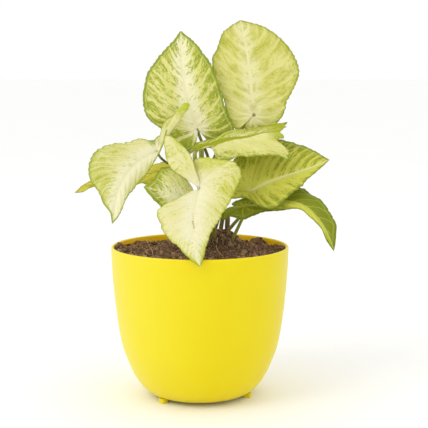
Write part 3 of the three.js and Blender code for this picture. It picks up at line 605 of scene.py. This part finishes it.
def leaf_piece(name, leaf):
    """A blade with sunken veins on top and raised veins below, and its petiole."""
    points, faces, facts = leaf_sheet(leaf)
    vein, out, across, edge, spread, along, side, height = facts.T
    points = points + normals_of(points, faces) * height[:, None]
    normals = normals_of(points, faces)

    off_vein = np.abs(vein - np.round(vein)) * spread
    inside = step(across, 0.5, 4) * step(edge, 0.5, 5)
    deep = np.exp(-((off_vein / VEIN_REACH) ** 2)) * inside * step(spread, 1.0, 4.0)
    puff = PUFF * np.sin(math.pi * vein) ** 2 * inside * np.clip(spread / 8, 0, 1)
    rib = np.exp(-((across / RIB_REACH) ** 2)) * (1 - 0.75 * along)
    top = BLADE_THICKNESS / 2 + puff - VEIN_SUNK * deep - RIB_SUNK * rib
    low = BLADE_THICKNESS / 2 - puff + VEIN_RAISED * deep + RIB_RAISED * rib
    thin = 0.45 + 0.55 * step(edge, 0, 1.2)
    count = len(points)
    up, down = (normals * (skin * thin)[:, None] for skin in (top, low))
    skin = np.vstack([points + up, points - down])

    directed = {pair for f in faces.tolist() for pair in zip(f, f[1:] + f[:1])}
    rim, sharp = [], set()
    for a, b in directed:
        if (b, a) not in directed:
            rim += [(a, a + count, b + count), (a, b + count, b)]
            sharp |= {tuple(sorted((a, b))), tuple(sorted((a + count, b + count)))}
    blade_faces = np.vstack([faces, faces[:, ::-1] + count, np.array(rim)])

    x, y = leaf.foot
    floor = ground(x, y)
    below = normals[1:8].mean(axis=0)
    below = -STALK_INSET * below / np.linalg.norm(below)
    start = [Path(leaf.midrib).at(0.05) + below, np.array(leaf.midrib[0]) + below]
    stalk = Path([*start, *leaf.petiole, (x, y, floor + 2), (x, y, floor - HOLE_DEPTH)])
    upper, lower = leaf.radii

    def radius(share, angle):
        body = upper + (lower - upper) * share**2
        body = 0.4 + (body - 0.4) * min(1, share * stalk.length / 5)
        groove = 0.16 * math.exp(-(((angle - 1.2) / 0.5) ** 2))
        return body * (1 - groove + 0.03 * math.sin(5 * angle + 9 * share))

    tube_points, tube_faces, tube_share = tube(stalk, radius)
    bare = np.zeros(len(tube_points))
    both = lambda *rows: np.column_stack([np.concatenate([row, row, bare]) for row in rows])
    upside = np.concatenate([np.ones(count), np.zeros(count), bare])
    stem = np.concatenate([np.zeros(2 * count), tube_share])
    piece = make_piece(
        name + "_skin",
        np.vstack([skin, tube_points]),
        np.vstack([blade_faces, tube_faces + 2 * count]),
        [leaf_material(name, leaf), stalk_material(name, leaf, STALK_NEAR / stalk.length)],
        np.repeat([0, 1], [len(blade_faces), len(tube_faces)]),
        {
            "vein_place": both(vein, out, across),
            "vein_gap": both(edge, spread, along),
            "vein_side": np.column_stack([both(side), upside, stem]),
        },
        sharp,
    )
    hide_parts(name)


def leaf_material(name, leaf):
    """Cream skin with green streaks between pale veins, and a greener margin with a dark line."""
    m = Look(
        name + "_skin", Specular_IOR_Level=0.22, Subsurface_Weight=leaf.glow,
        Subsurface_Radius=(0.6, 1, 0.25), Subsurface_Scale=0.001,
    )
    vein, out, across = m.parts(m.fact("vein_place", "Vector"))
    edge, spread, along = m.parts(m.fact("vein_gap", "Vector"))
    side, upside, _ = m.parts(m.fact("vein_side", "Vector"))

    # Side veins as crisp lines in soft pale bands, the midrib, and a pale line along the margin
    vein_here = m.math("ADD", vein, m.scaled(m.grain(70), 0.5, -0.25))
    apart = m.math("ABSOLUTE", m.less(vein_here, m.math("ROUND", vein_here)))
    off = m.times(apart, spread)
    line = m.fall(m.less(off, m.rise(out, 0, 1, leaf.vein_width, 0.15)), -0.1, 0.5)
    line = m.times(line, m.rise(edge, 0.8, 3.0))
    band = m.fall(off, 0, leaf.band_width)
    mid_width = m.rise(along, 0, 1, leaf.mid_width, 0.25)
    middle = m.fall(m.less(across, mid_width), -0.3, 0.9)
    hem = m.math("ABSOLUTE", m.less(edge, 2.4))
    hem = m.times(m.fall(hem, 0.1, 0.8), 0.6)
    pale = m.math("MAXIMUM", m.math("MAXIMUM", line, middle), hem)

    # Green streaks run along the veins, in broad and narrow lanes with hair lines and speckles
    lane = m.scaled(side, 2.3, vein_here)
    run = m.times(across, leaf.streak)
    lanes = []
    for count, length, shift in ((2.4, 1, 3.1), (7, 3, 5.7), (17, 4.5, 7.3)):
        at = m.node("CombineXYZ", X=m.times(lane, count), Y=m.times(run, length), Z=leaf.seed * shift)
        lanes.append(m.grain(1.0, 2.0, 0.6, at.outputs[0]))
    broad, narrow, hair = lanes
    cloud = m.grain(leaf.cloud_scale)
    fine = m.grain(1000, 2.0, 0.6)
    score = m.rise(out, 0.03, 1, *leaf.cover)
    # The side term is painted shade: it makes one half of the blade greener and darker, standing in for
    # a half in shade.
    for amount, share in (
        (leaf.lobe_cover, m.fall(vein, -0.8, 0.6)),
        (leaf.tip_cover, m.rise(along, leaf.tip_from, 1)),
        (leaf.side_cover, m.times(side, m.rise(along, 0.1, 0.4))),
        (leaf.edge_cover, m.fall(edge, 0, leaf.edge_width)),
        (leaf.cloud, m.less(cloud, 0.5)),
        (-leaf.band, band),
        (leaf.broad, m.less(broad, 0.5)),
        (leaf.narrow, m.less(narrow, 0.5)),
        (leaf.hair, m.less(hair, 0.5)),
        (leaf.fine, m.less(fine, 0.5)),
    ):
        score = m.scaled(share, amount, score)
    green = m.rise(score, 0.5 - leaf.soft, 0.5 + leaf.soft)
    green = m.times(green, m.less(1.0, m.times(pale, leaf.vein)))

    depth = m.rise(score, 0.5, 0.95, 0, 0.8)
    tone = m.mix(depth, leaf.green, leaf.deep)
    skin = m.mix(m.rise(cloud, 0.3, 0.75), leaf.cream, leaf.tint)
    inner, outer, share = leaf.heart
    skin = m.mix(m.fall(across, inner, outer, share), skin, leaf.white)
    colour = m.mix(green, skin, tone)
    colour = m.mix(m.times(middle, leaf.mid), colour, leaf.mid_colour)
    fringe = m.math("ADD", edge, m.scaled(narrow, 2.4, -1.2))
    rim = m.fall(fringe, leaf.rim_width * 0.4, leaf.rim_width * 1.5, leaf.rim)
    colour = m.mix(rim, colour, leaf.rim_colour)
    outline = m.times(m.fall(edge, 0.3, 0.75, 0.65), m.rise(broad, 0.35, 0.55, 0.35, 1))
    colour = m.mix(outline, colour, "#6d800f")
    for centre, inner, outer, tint, share in leaf.spots:
        near = m.times(m.spot(centre, inner, outer), share)
        near = m.times(near, m.rise(m.math("ADD", fine, hair), 0.7, 1.1, 0.45, 1))
        colour = m.mix(near, colour, tint)
    colour = m.mix(upside, m.mix(0.35, colour, leaf.under), colour)
    m.set(Base_Color=colour, Roughness=m.rise(fine, 0.2, 0.8, 0.42, 0.6))

    # Fine cells of the skin, with the veins a little sunken
    cells = m.node("TexVoronoi", Vector=m.place(), Scale=650)
    cells.feature = "DISTANCE_TO_EDGE"
    cell = m.rise(cells.outputs["Distance"], 0, 0.25)
    m.bump(m.scaled(cell, 0.35, m.times(line, -0.8)), 0.5, 0.00012)
    return m.material


def stalk_material(name, leaf, near):
    """A petiole with fine lengthwise lines: blade colour at its top, then green, then browner."""
    m = Look(name + "_petiole", Specular_IOR_Level=0.25)
    stem = m.parts(m.fact("vein_side", "Vector"))[2]
    lines = m.stretched((1500, 1500, 60), 2.0)
    joint, top, foot = leaf.stalk
    colour = m.mix(m.rise(m.scaled(m.grain(240), 0.25, stem), 0.55, 1.05), top, foot)
    colour = m.mix(m.fall(stem, near, 2 * near), colour, joint)
    colour = m.mix(m.rise(lines, 0.45, 0.8, 0, 0.5), colour, "#b4b658")
    colour = m.mix(m.fall(lines, 0.2, 0.45, 0.45), colour, "#5c561e")
    m.set(Base_Color=colour, Roughness=m.rise(lines, 0.2, 0.8, 0.38, 0.58))
    m.bump(lines, 0.4, 0.00015)
    return m.material


# Pot
def bezier(a, b, c, d, count=28):
    """Points on a curve from a to d, which b and c pull."""
    t = np.linspace(0, 1, count + 1)[:, None]
    a, b, c, d = (np.array(p, float) for p in (a, b, c, d))
    return a * (1 - t) ** 3 + 3 * b * t * (1 - t) ** 2 + 3 * c * t**2 * (1 - t) + d * t**3


def outer_line():
    """The pot's outer line from its base to the rim, as radius and height."""
    belly = bezier(
        (BASE_RADIUS, FOOT_HEIGHT), (BASE_RADIUS + 15, FOOT_HEIGHT),
        (BELLY_RADIUS - 2.6, BELLY_HEIGHT - 5.9), (BELLY_RADIUS, BELLY_HEIGHT),
    )
    side = bezier(
        (BELLY_RADIUS, BELLY_HEIGHT), (BELLY_RADIUS + 5, BELLY_HEIGHT + 11.6),
        (RIM_RADIUS - 0.3, POT_HEIGHT - 25), (RIM_RADIUS, POT_HEIGHT),
    )
    return np.vstack([belly, side[1:]])


def inner_line(distance, low, high):
    """The line at a distance inside the pot's outer line, between two heights."""
    line = outer_line()
    along = np.gradient(line, axis=0)
    along /= np.linalg.norm(along, axis=1)[:, None]
    line = line + distance * np.column_stack([-along[:, 1], along[:, 0]])
    return line[(line[:, 1] > low) & (line[:, 1] < high)]


def lathe(profile, sectors):
    """Points and faces of a closed turned body. The profile starts and ends on the axis."""
    angles = np.linspace(0, 2 * math.pi, sectors, endpoint=False)
    radii, heights = np.array(profile[1:-1]).T[:, :, None]
    rings = np.broadcast_arrays(radii * np.cos(angles), radii * np.sin(angles), heights)
    ends = [(0, 0, profile[0][1]), (0, 0, profile[-1][1])]
    quads, fans = ring_faces(len(radii), sectors)
    return np.vstack([np.stack(rings, axis=-1).reshape(-1, 3), ends]), [*quads, *fans]


def raw_object(name, work):
    """A plain object from a bmesh in metres, which it uses up."""
    mesh = bpy.data.meshes.new(name)
    work.to_mesh(mesh)
    work.free()
    made = bpy.data.objects.new(name, mesh)
    bpy.context.scene.collection.objects.link(made)
    return made


def join_solids(piece, other, operation):
    """Adds the other solid to a piece, or cuts it out, and removes the other."""
    change = piece.modifiers.new("join", "BOOLEAN")
    change.operation = operation
    change.solver = "EXACT"
    change.object = other
    bpy.context.view_layer.update()
    seen = piece.evaluated_get(bpy.context.evaluated_depsgraph_get())
    mesh = bpy.data.meshes.new_from_object(seen)
    piece.modifiers.clear()
    old = piece.data
    piece.data = mesh
    bpy.data.meshes.remove(old)
    bpy.data.objects.remove(other)


def pot_piece():
    """A thin shell with a rounded lip, rounded feet and drain holes."""
    base, floor, top = FOOT_HEIGHT, FOOT_HEIGHT + WALL, POT_HEIGHT - WALL / 2
    outside = outer_line()
    turn = np.linspace(0, math.pi, 9)
    lip = WALL / 2
    lip_line = [RIM_RADIUS - lip + lip * np.cos(turn), POT_HEIGHT - 0.9 * lip * (1 - np.sin(turn))]
    profile = np.vstack(
        [
            [(0, base), (10, base), (24, base)],
            outside[outside[:, 1] < top],
            np.column_stack(lip_line),
            inner_line(WALL, floor + 0.3, top)[::-1],
            [(BASE_RADIUS, floor), (24, floor), (10, floor), (0, floor)],
        ]
    )
    pot = make_piece("pot_shell", *lathe(profile, 192), [pot_material()])
    height = FOOT_HEIGHT + 1.2
    for degrees in FOOT_ANGLES:
        work = bmesh.new()
        bmesh.ops.create_cube(work, size=1)
        bmesh.ops.scale(work, vec=Vector((FOOT_SIDE, FOOT_SIDE, height)) * MM, verts=work.verts)
        edges = [e for e in work.edges if min(v.co.z for v in e.verts) < 0]
        bmesh.ops.bevel(
            work, geom=edges, offset=FOOT_BEVEL * MM, segments=3, affect="EDGES", profile=0.5
        )
        turn = Matrix.Rotation(math.radians(degrees), 4, "Z")
        place = turn @ Matrix.Translation((FOOT_CIRCLE * MM, 0, height / 2 * MM))
        bmesh.ops.transform(work, matrix=place, verts=work.verts)
        join_solids(pot, raw_object("foot", work), "UNION")
    for i in range(DRAIN_COUNT):
        angle = 2 * math.pi * i / DRAIN_COUNT
        place = (DRAIN_CIRCLE * math.cos(angle), DRAIN_CIRCLE * math.sin(angle), FOOT_HEIGHT)
        work = bmesh.new()
        bmesh.ops.create_cone(
            work, cap_ends=True, segments=48, radius1=DRAIN_RADIUS * MM, radius2=DRAIN_RADIUS * MM,
            depth=12 * MM, matrix=Matrix.Translation(Vector(place) * MM),
        )
        join_solids(pot, raw_object("drain", work), "DIFFERENCE")
    pot.data.shade_smooth()
    pot.data.set_sharp_from_angle(angle=math.radians(35))
    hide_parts("pot")


def pot_material():
    """Smooth yellow plastic, paler to the left by a painted highlight, warmer inside by painted bounce
    light, scuffed under its base.
    """
    m = Look(
        "yellow_plastic", Specular_IOR_Level=0.2, Subsurface_Weight=0.35,
        Subsurface_Radius=(1.0, 0.7, 0.1), Subsurface_Scale=0.004,
    )
    x, y, height = m.parts(m.place())
    broad, fine = m.grain(14), m.grain(420, 3.0, 0.6)
    colour = m.mix(m.rise(broad, 0.3, 0.7), "#ead60e", "#e8d208")
    # Painted highlight: the left side is mixed towards a paler yellow, standing in for the sheen of a
    # lamp on the left.
    colour = m.mix(m.fall(x, -0.07, 0.01, 0.45), colour, "#f2e450")
    # Painted bounce light: the inner wall above the mix is mixed towards a brighter orange-yellow,
    # standing in for light thrown back inside the pot.
    away = m.math("SQRT", m.scaled(x, x, m.times(y, y)))
    inner = m.times(m.fall(away, 0.0632, 0.064), m.rise(height, 0.092, 0.098))
    colour = m.mix(m.times(inner, 0.9), colour, "#ffd21c")
    scuff = m.times(m.fall(height, 0, 0.007), m.rise(fine, 0.5, 0.75))
    colour = m.mix(m.times(scuff, 0.35), colour, "#b9a324")
    rough = m.scaled(broad, 0.5, m.times(fine, 0.5))
    m.set(Base_Color=colour, Roughness=m.rise(rough, 0.3, 0.7, 0.3, 0.4))
    m.bump(m.grain(900), 0.25, 0.00003)
    return m.material


# Potting mix
def soil_surface(x, y):
    """Height of the mix with its lumps: rougher near the stems, and uneven at the wall."""
    radius = np.hypot(x, y)
    places = np.column_stack([x, y, 0 * x])
    rough = fog(places, 0.055, 1, 3) + 0.75 * fog(places, 0.21, 2, 2)
    rough += 0.35 * np.abs(fog(places, 0.7, 3, 2))
    near = np.exp(-((x - 12) ** 2 + (y + 2) ** 2) / (2 * 15**2))
    lift = 0.8 * step(radius, 40, 60) * np.clip(-y / 60, -1, 1)
    lift += 0.7 * step(x, 35, 60) * step(y, -20, 20)
    edge = 1.2 * step(radius, 50, 61) * hills(5, 8, 3, 23)(np.arctan2(y, x))
    return ground(x, y) + rough * (1 + 0.6 * near) + lift + edge * (0.4 + 0.6 * step(y, -30, 10))


def soil_material():
    """Dark coir with tan specks, and painted shade round the stems under the leaves. A crumb's tone
    makes it paler.
    """
    m = Look("potting_mix", Specular_IOR_Level=0.2)
    fine = m.grain(520, 4.0, 0.7)
    colour = m.mix(m.rise(fine, 0.4, 0.62), "#281a12", "#936f4c")
    colour = m.mix(m.times(m.rise(m.grain(60, 3.0, 0.6), 0.35, 0.7), 0.35), colour, "#664536")
    # Painted shade: a darker grey-brown patch round the stems, where the leaves shade the mix.
    colour = m.mix(m.times(m.spot((15, -2, 115), 8, 30), 0.55), colour, "#2e2a1a")
    colour = m.mix(m.times(m.math("POWER", m.fact("tone"), 2.5), 0.8), colour, "#bd9970")
    colour = m.mix(m.times(m.rise(m.grain(900, 2.0, 0.6), 0.55, 0.7), 0.55), colour, "#c4a27c")
    m.set(Base_Color=colour, Roughness=m.rise(fine, 0.2, 0.8, 0.85, 1))
    m.bump(fine, 0.8, 0.0006)
    return m.material


def soil_pieces():
    """The bed of mix, and the crumbs, clods and fibres that lie on it."""
    floor = FOOT_HEIGHT + WALL + SOIL_GAP
    wall = inner_line(WALL + SOIL_GAP, floor + 0.3, SOIL_LEVEL - 9)[::3]
    radii = (RIM_RADIUS - WALL - 0.15) * np.linspace(1, 0, SOIL_RINGS + 1)
    profile = np.vstack([[(0, floor), (FLOOR_PATCH, floor)], wall, [(r, SOIL_LEVEL) for r in radii]])
    points, faces = lathe(profile, SOIL_SECTORS)
    top = points[:, 2] == SOIL_LEVEL
    points[top, 2] = soil_surface(*points[top, :2].T)
    bed = make_piece("potting_mix", points, faces, [soil_material()])
    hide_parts("soil")

    draw = np.random.default_rng(11)
    for name, count, sizes, detail in CRUMBS:
        crumbs(draw, name, count, sizes, detail)
    fibres(draw)


def in_disc(draw, radius):
    """A random place in a disc round the pot's axis."""
    angle, away = draw.uniform(0, 2 * math.pi), radius * math.sqrt(draw.uniform(0, 1))
    return np.array([away * math.cos(angle), away * math.sin(angle)])


def within(place, limit):
    """The place, moved in if it is beyond the limit from the pot's axis."""
    return place * min(1, limit / np.hypot(*place))


def heap(name, parts, material):
    """One piece of many small meshes, each with its points, faces and tone."""
    points, faces, tones = zip(*parts)
    counts = [len(p) for p in points]
    faces = np.vstack([f + start for f, start in zip(faces, np.cumsum([0] + counts))])
    facts = {"tone": np.repeat(tones, counts)}
    piece = make_piece(name, np.vstack(points), faces, [material], facts=facts)
    return piece


def crumbs(draw, name, count, sizes, detail):
    """Loose crumbs of coir and bark, half sunk in the mix."""
    work = bmesh.new()
    bmesh.ops.create_icosphere(work, subdivisions=detail, radius=1)
    ball = np.array([v.co[:] for v in work.verts])
    ball_faces = np.array([[v.index for v in f.verts] for f in work.faces])
    work.free()
    parts = []
    for i in range(count):
        by_stems = i % 4 == 0
        centre = np.array(MOUND_CENTRE) + draw.normal(0, 11, 2) if by_stems else in_disc(draw, 61.5)
        size = sizes[0] + (sizes[1] - sizes[0]) * draw.uniform(0, 1) ** 2.2
        centre = within(centre, CRUMB_REACH - size)
        angle, axis = draw.uniform(0, 6.3), Vector(draw.normal(0, 1, 3)).normalized()
        shape = ball * draw.uniform(0.55, 1.25, 3) * (1 + draw.uniform(-0.28, 0.28, (len(ball), 1)))
        z = soil_surface(centre[:1], centre[1:])[0] + size * draw.uniform(-0.2, 0.45)
        turned = shape @ np.array(Matrix.Rotation(angle, 3, axis)).T
        parts.append((turned * size + (*centre, z), ball_faces, draw.uniform()))
    heap(name, parts, soil_material()).data.shade_flat()


def fibres(draw):
    """Coir fibres on the mix: many short dark ones and a few long pale strands."""
    paths = []
    for _ in range(FIBRE_COUNT):
        places = [in_disc(draw, 58)]
        heading, turn = draw.uniform(0, 2 * math.pi), draw.normal(0, 0.35)
        stride = draw.uniform(4, 14) / FIBRE_JOINTS
        for _ in range(FIBRE_JOINTS):
            heading += turn + draw.normal(0, 0.25)
            places.append(places[-1] + stride * np.array([math.cos(heading), math.sin(heading)]))
        flat = np.array([within(p, FIBRE_REACH) for p in places])
        lift = draw.uniform(0.1, 1, len(flat))
        paths.append((flat, lift, draw.uniform(0.09, 0.2), draw.uniform(0.0, 0.75)))
    paths += [(np.array(strand, float), 1, 0.3, 1) for strand in STRANDS]
    parts = []
    for flat, lift, radius, tone in paths:
        path = Path(np.column_stack([flat, soil_surface(*flat.T) + lift]), 12)
        points, faces, _ = tube(path, lambda share, _: radius * (1.15 - 0.6 * share), 6, 1.4)
        parts.append((points, faces, tone))
    m = Look("coir_fibre", Roughness=0.8)
    share = m.scaled(m.grain(300), 0.3, m.times(m.fact("tone"), 0.85))
    m.set(Base_Color=m.mix(share, "#453122", "#c9a878"))
    heap("coir_fibres", parts, m.material)


def cane_piece():
    """The brown stub of an older stem, with the rings of its leaf scars and a rough top."""
    x, y = CANE_FOOT
    low = float(ground(x, y)) - HOLE_DEPTH
    path = Path([(x, y, low), (x, y, low + 12), (x + 0.2, y, CANE_TOP - 6), (x, y, CANE_TOP - 0.3)])

    def radius(share, angle):
        rings = sum(math.exp(-(((share - ring) / 0.016) ** 2)) for ring in CANE_RINGS)
        bark = 0.04 * math.sin(7 * angle + 20 * share) + 0.03 * math.sin(13 * angle - 31 * share)
        return CANE_RADIUS * (0.9 + 0.08 * rings) * (1 + bark)

    points, faces, share = tube(path, radius, 32, 0.5)
    rough = share > 0.97
    points[rough] += np.random.default_rng(3).uniform(-0.25, 0.25, (rough.sum(), 3))
    m = Look("cane_bark", Roughness=0.8)
    lines = m.stretched((900, 900, 120), 3.0)
    colour = m.mix(m.rise(lines, 0.3, 0.7), "#6a5434", "#a8906a")
    m.set(Base_Color=m.mix(m.rise(m.fact("height"), 0.55, 0.95, 0, 0.6), colour, "#93904a"))
    m.bump(lines, 0.8, 0.0003)
    piece = make_piece("cane_stub", points, faces, [m.material], facts={"height": share})
    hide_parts("cane")


# Stage, light and camera
def stage_light_camera():
    """A pale round floor, two soft lamps in a white world, and the photo's camera."""
    scene = bpy.context.scene
    work = bmesh.new()
    bmesh.ops.create_circle(work, cap_ends=True, segments=96, radius=60)
    floor = raw_object("floor", work)
    m = Look("pale_floor", Roughness=0.9, Specular_IOR_Level=0.1)
    m.set(Base_Color=m.mix(m.grain(3), "#fefefd", "#fcfcfb"))
    floor.data.materials.append(m.material)

    scene.world = bpy.data.worlds.new("studio")
    scene.world.use_nodes = True
    background = scene.world.node_tree.nodes["Background"].inputs
    background["Color"].default_value = (1, 1, 1, 1)
    background["Strength"].default_value = 1.0

    for name, place, size, power in LAMPS:
        light = bpy.data.lights.new(name, "AREA")
        light.size = size
        light.energy = power
        lamp = bpy.data.objects.new(name, light)
        lamp.location = place
        lamp.rotation_euler = (Vector(LAMP_AIM) - Vector(place)).to_track_quat("-Z", "Y").to_euler()
        scene.collection.objects.link(lamp)

    lens = bpy.data.cameras.new("camera")
    lens.sensor_fit = "HORIZONTAL"
    lens.sensor_width = SENSOR
    lens.lens = SENSOR * FOCAL_PIXELS / FRAME_PIXELS
    lens.clip_start, lens.clip_end = 0.01, 50
    camera = bpy.data.objects.new("camera", lens)
    camera.location = CAMERA_PLACE
    camera.rotation_euler = (math.radians(CAMERA_TILT), 0, math.radians(CAMERA_TURN))
    scene.collection.objects.link(camera)
    scene.camera = camera
    scene.view_settings.view_transform = "Standard"


stage_light_camera()
pot_piece()
soil_pieces()
cane_piece()
for name, leaf in LEAVES.items():
    leaf_piece(name, SimpleNamespace(**{**PLAIN, **leaf}))

bpy.context.view_layer.update()
